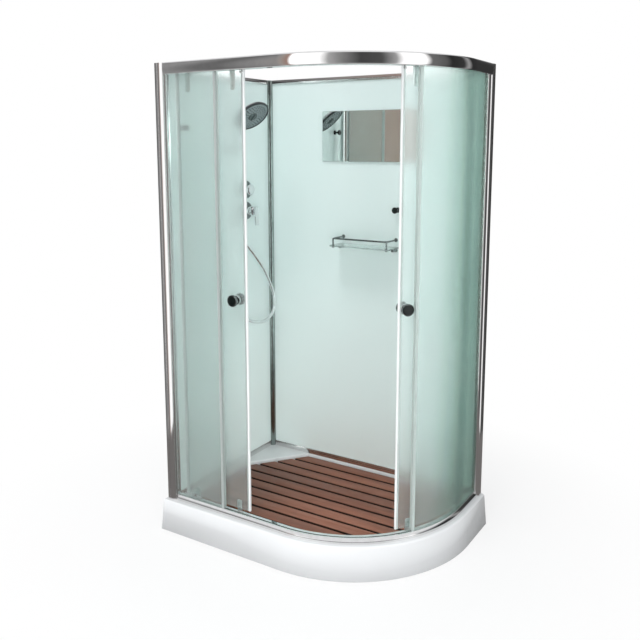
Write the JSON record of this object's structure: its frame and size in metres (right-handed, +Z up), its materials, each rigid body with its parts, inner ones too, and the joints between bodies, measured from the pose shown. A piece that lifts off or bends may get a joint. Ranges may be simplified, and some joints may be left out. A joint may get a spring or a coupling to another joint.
{
  "type": "shower cabin",
  "caption": "Offset quadrant shower cabin with frosted sliding doors in a curved rail, two wall panels, a deep tray with a wooden deck, a mixer, a hand shower, a mirror and a shelf.",
  "frame": {"origin": "centre of the bounding box at floor level, without the hose", "axes": "+Z up, the doors face -Y, the rounded corner is at +X -Y, the plumbed wall is at -X"},
  "size_m": [1.1999, 0.7998, 2],
  "materials": {
    "acrylic": "smooth gloss sanitary acrylic",
    "frame_steel": "grey painted square tube",
    "foot_plastic": "black plastic pad and plated rod",
    "trap_plastic": "dark moulded plastic",
    "steel": "brushed stainless",
    "deck_wood": "oiled brown hardwood",
    "batten_wood": "dark sawn hardwood",
    "wall_panel": "glass backed with pale mint white paint",
    "profile": "polished aluminium profile",
    "frosted_glass": "frosted tempered glass, pale mint",
    "seal": "pale translucent vinyl",
    "mirror": "silvered glass",
    "pad": "white foam tape",
    "clear_glass": "clear glass with polished edges",
    "chrome": "bright chrome",
    "dark_chrome": "dark mirror chrome",
    "brass": "raw cast brass",
    "spray_face": "grey rubber-nozzled face",
    "selector": "dark grey plastic",
    "hose": "chromed spiral hose",
    "wheel_plastic": "white nylon"
  },
  "bodies": {
    "cabin": {"tray": "acrylic", "tray_frame": "frame_steel", "tray_feet": "foot_plastic", "drain_trap": "trap_plastic", "left_wall": "wall_panel", "back_wall": "wall_panel", "corner_profile": "profile", "wall_trims": "profile", "left_end_profile": "profile", "right_end_profile": "profile", "top_rail": "profile", "bottom_rail": "profile", "rail_brackets": "steel", "frame_screws": "steel", "left_fixed_glass": "frosted_glass", "right_fixed_glass": "frosted_glass", "fixed_glass_seals": "seal", "wall_mirror": "mirror", "mirror_pads": "pad", "shelf_glass": "clear_glass", "shelf_brackets": "chrome", "shelf_rail": "chrome", "robe_hooks": "dark_chrome", "valve_block": "brass", "mixer_plate": "chrome", "mixer_body": "chrome", "diverter_plate": "chrome", "hose_outlet": "chrome", "handset_holder": "chrome", "shower_hose": "hose", "hose_nuts": "chrome"},
    "deck": {"deck_slats": "deck_wood", "deck_battens": "batten_wood"},
    "grate": {"drain_grate": "steel"},
    "mixer_cap": {"mixer_cap": "chrome"},
    "mixer_lever": {"mixer_lever": "chrome"},
    "diverter_knob": {"diverter_knob": "chrome"},
    "handset": {"handset_body": "chrome", "handset_face": "spray_face"},
    "spray_selector": {"spray_selector": "selector"},
    "left_door": {"left_door_glass": "frosted_glass", "left_door_seals": "seal", "left_door_knobs": "dark_chrome", "left_door_stems": "chrome", "left_door_brackets": "steel"},
    "left_door_top_wheel_front": {"left_top_wheel_front": "wheel_plastic"},
    "left_door_top_wheel_rear": {"left_top_wheel_rear": "wheel_plastic"},
    "left_door_low_wheel_front": {"left_low_wheel_front": "wheel_plastic"},
    "left_door_low_wheel_rear": {"left_low_wheel_rear": "wheel_plastic"},
    "right_door": {"right_door_glass": "frosted_glass", "right_door_seals": "seal", "right_door_knobs": "dark_chrome", "right_door_stems": "chrome", "right_door_brackets": "steel"},
    "right_door_top_wheel_front": {"right_top_wheel_front": "wheel_plastic"},
    "right_door_top_wheel_rear": {"right_top_wheel_rear": "wheel_plastic"},
    "right_door_low_wheel_front": {"right_low_wheel_front": "wheel_plastic"},
    "right_door_low_wheel_rear": {"right_low_wheel_rear": "wheel_plastic"}
  },
  "joints": [
    {"name": "left_door_slide", "type": "slide", "parent": "cabin", "child": "left_door", "axis": [1, 0, 0], "range_m": [0, 0.202]},
    {"name": "right_door_slide_round", "type": "hinge", "parent": "cabin", "child": "right_door", "pos_m": [0.025, 0.175, 1.06], "axis": [0, 0, -1], "range_deg": [0, 48.39]},
    {"name": "left_door_top_wheel_front_spin", "type": "hinge", "parent": "left_door", "child": "left_door_top_wheel_front", "pos_m": [-0.22, -0.336, 1.9758], "axis": [0, 1, 0], "range_deg": [-20, 975]},
    {"name": "left_door_low_wheel_front_spin", "type": "hinge", "parent": "left_door", "child": "left_door_low_wheel_front", "pos_m": [-0.22, -0.336, 0.1507], "axis": [0, 1, 0], "range_deg": [-1664, 20]},
    {"name": "left_door_top_wheel_rear_spin", "type": "hinge", "parent": "left_door", "child": "left_door_top_wheel_rear", "pos_m": [-0.445, -0.336, 1.9758], "axis": [0, 1, 0], "range_deg": [-20, 975]},
    {"name": "left_door_low_wheel_rear_spin", "type": "hinge", "parent": "left_door", "child": "left_door_low_wheel_rear", "pos_m": [-0.445, -0.336, 0.1507], "axis": [0, 1, 0], "range_deg": [-1664, 20]},
    {"name": "right_door_top_wheel_front_spin", "type": "hinge", "parent": "right_door", "child": "right_door_top_wheel_front", "pos_m": [0.45473, -0.1015, 1.9758], "axis": [0.841, -0.5411, 0], "range_deg": [-20, 2071]},
    {"name": "right_door_low_wheel_front_spin", "type": "hinge", "parent": "right_door", "child": "right_door_low_wheel_front", "pos_m": [0.45473, -0.1015, 0.1507], "axis": [0.841, -0.5411, 0], "range_deg": [-3543, 20]},
    {"name": "right_door_top_wheel_rear_spin", "type": "hinge", "parent": "right_door", "child": "right_door_top_wheel_rear", "pos_m": [0.53589, 0.18543, 1.9758], "axis": [0.9998, 0.0204, 0], "range_deg": [-20, 2071]},
    {"name": "right_door_low_wheel_rear_spin", "type": "hinge", "parent": "right_door", "child": "right_door_low_wheel_rear", "pos_m": [0.53589, 0.18543, 0.1507], "axis": [0.9998, 0.0204, 0], "range_deg": [-3543, 20]},
    {"name": "deck_lift", "type": "slide", "parent": "cabin", "child": "deck", "axis": [0, 0, 1], "range_m": [0, 0.04]},
    {"name": "drain_grate_lift", "type": "slide", "parent": "cabin", "child": "grate", "axis": [0, 0, 1], "range_m": [0, 0.015]},
    {"name": "mixer_turn", "type": "hinge", "parent": "cabin", "child": "mixer_cap", "pos_m": [-0.503, 0.17, 1.369], "axis": [1, 0, 0], "range_deg": [-45, 45]},
    {"name": "mixer_lift", "type": "hinge", "parent": "mixer_cap", "child": "mixer_lever", "pos_m": [-0.5007, 0.17, 1.381], "axis": [0, -1, 0], "range_deg": [0, 20]},
    {"name": "diverter_turn", "type": "hinge", "parent": "cabin", "child": "diverter_knob", "pos_m": [-0.525, 0.17, 1.468], "axis": [1, 0, 0], "range_deg": [-45, 45]},
    {"name": "handset_swivel", "type": "hinge", "parent": "cabin", "child": "handset", "pos_m": [-0.481, 0.049, 1.655], "axis": [0.1371, -0.0242, 0.9903], "range_deg": [-35, 35]},
    {"name": "spray_turn", "type": "hinge", "parent": "handset", "child": "spray_selector", "pos_m": [-0.3997, 0.03466, 1.80293], "axis": [0.6767, -0.1193, -0.7266], "range_deg": [-60, 60]}
  ],
  "couplings": [
    {"joint": "left_door_top_wheel_front_spin", "follows": "left_door_slide", "rad_per_m": 83.333},
    {"joint": "left_door_low_wheel_front_spin", "follows": "left_door_slide", "rad_per_m": -142.86},
    {"joint": "left_door_top_wheel_rear_spin", "follows": "left_door_slide", "rad_per_m": 83.333},
    {"joint": "left_door_low_wheel_rear_spin", "follows": "left_door_slide", "rad_per_m": -142.86},
    {"joint": "right_door_top_wheel_front_spin", "follows": "right_door_slide_round", "ratio": 42.583},
    {"joint": "right_door_low_wheel_front_spin", "follows": "right_door_slide_round", "ratio": -73},
    {"joint": "right_door_top_wheel_rear_spin", "follows": "right_door_slide_round", "ratio": 42.583},
    {"joint": "right_door_low_wheel_rear_spin", "follows": "right_door_slide_round", "ratio": -73}
  ]
}
